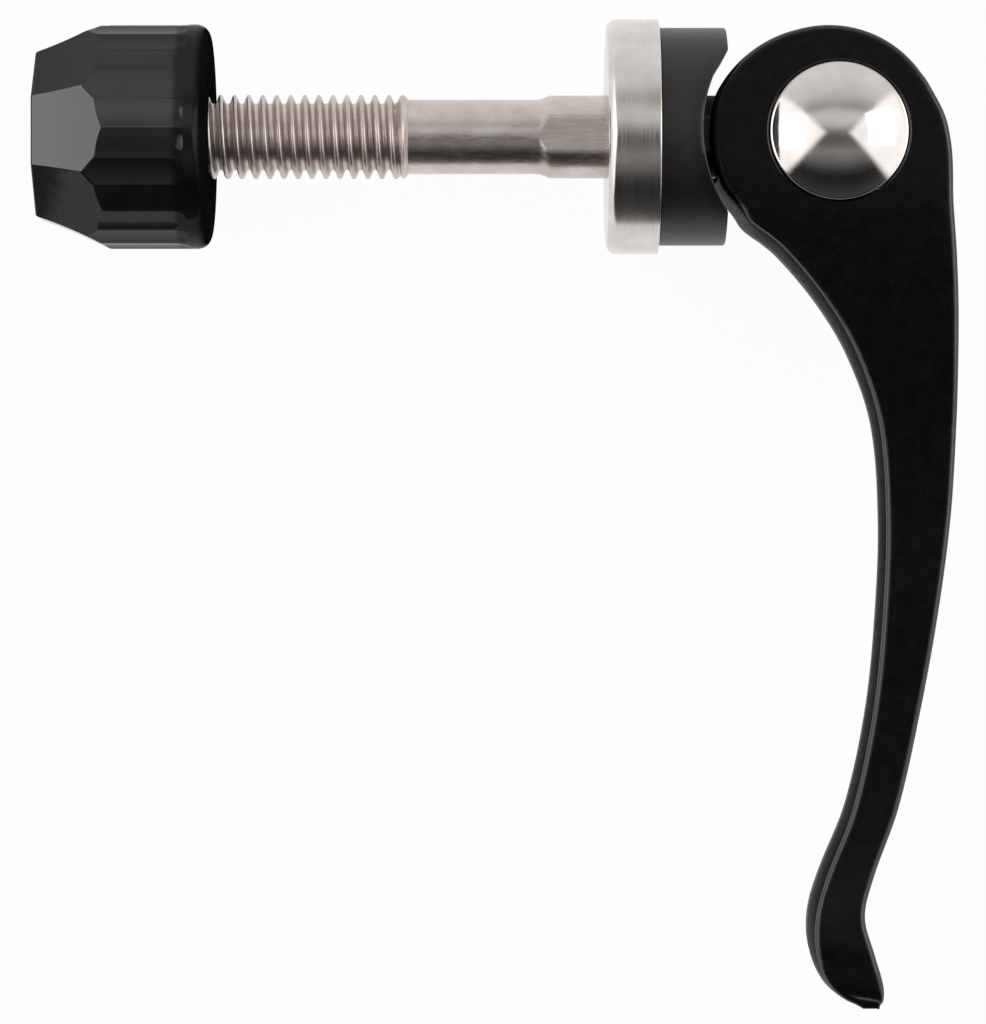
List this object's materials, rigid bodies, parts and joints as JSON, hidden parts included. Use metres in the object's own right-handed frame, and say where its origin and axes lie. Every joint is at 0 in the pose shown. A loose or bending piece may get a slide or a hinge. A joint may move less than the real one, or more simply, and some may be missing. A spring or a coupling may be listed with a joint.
{
  "type": "seatpost quick release bolt",
  "caption": "Quick release bolt with a cam lever, a cross pin, a steel washer, a saddle washer and a thumb nut, for clamping a seatpost collar.",
  "frame": {"origin": "centre of the steel washer's clamping face, on the bolt's axis", "axes": "+X along the bolt from the nut to the lever, +Z along the cross pin, and the closed lever's arm along -Y"},
  "size_m": [0.0654, 0.0703, 0.0166],
  "materials": {
    "lever_paint": "black paint on die-cast aluminium",
    "bolt_steel": "nickel-plated steel with a rolled thread",
    "pin_steel": "polished nickel plate",
    "washer_steel": "turned and nickel-plated steel",
    "saddle_plastic": "satin moulded nylon",
    "nut_plastic": "glossy moulded plastic",
    "insert_steel": "zinc-plated steel",
    "ring_nylon": "natural nylon"
  },
  "bodies": {
    "bolt_and_pin": {"bolt": "bolt_steel", "cross_pin": "pin_steel"},
    "lever": {"lever": "lever_paint"},
    "saddle_washer": {"saddle_washer": "saddle_plastic"},
    "steel_washer": {"steel_washer": "washer_steel"},
    "lock_ring": {"lock_ring": "ring_nylon"},
    "nut": {"nut_shell": "nut_plastic", "nut_insert": "insert_steel"}
  },
  "joints": [
    {"name": "lever_pivot", "type": "hinge", "parent": "bolt_and_pin", "child": "lever", "pos_m": [0.01625, 0, 0], "axis": [0, 0, 1], "range_deg": [0, 165]},
    {"name": "saddle_slide", "type": "slide", "parent": "bolt_and_pin", "child": "saddle_washer", "axis": [-1, 0, 0], "range_m": [-0.0005, 0.006]},
    {"name": "washer_slide", "type": "slide", "parent": "saddle_washer", "child": "steel_washer", "axis": [-1, 0, 0], "range_m": [0, 0.007]},
    {"name": "nut_travel", "type": "slide", "parent": "bolt_and_pin", "child": "lock_ring", "axis": [1, 0, 0], "range_m": [-0.006, 0.014]},
    {"name": "nut_spin", "type": "hinge", "parent": "lock_ring", "child": "nut", "pos_m": [-0.0282, 0, 0], "axis": [1, 0, 0], "range_deg": [-2160, 5040]}
  ],
  "couplings": [
    {"joint": "nut_travel", "follows": "nut_spin", "m_per_rad": 0.00015915}
  ]
}
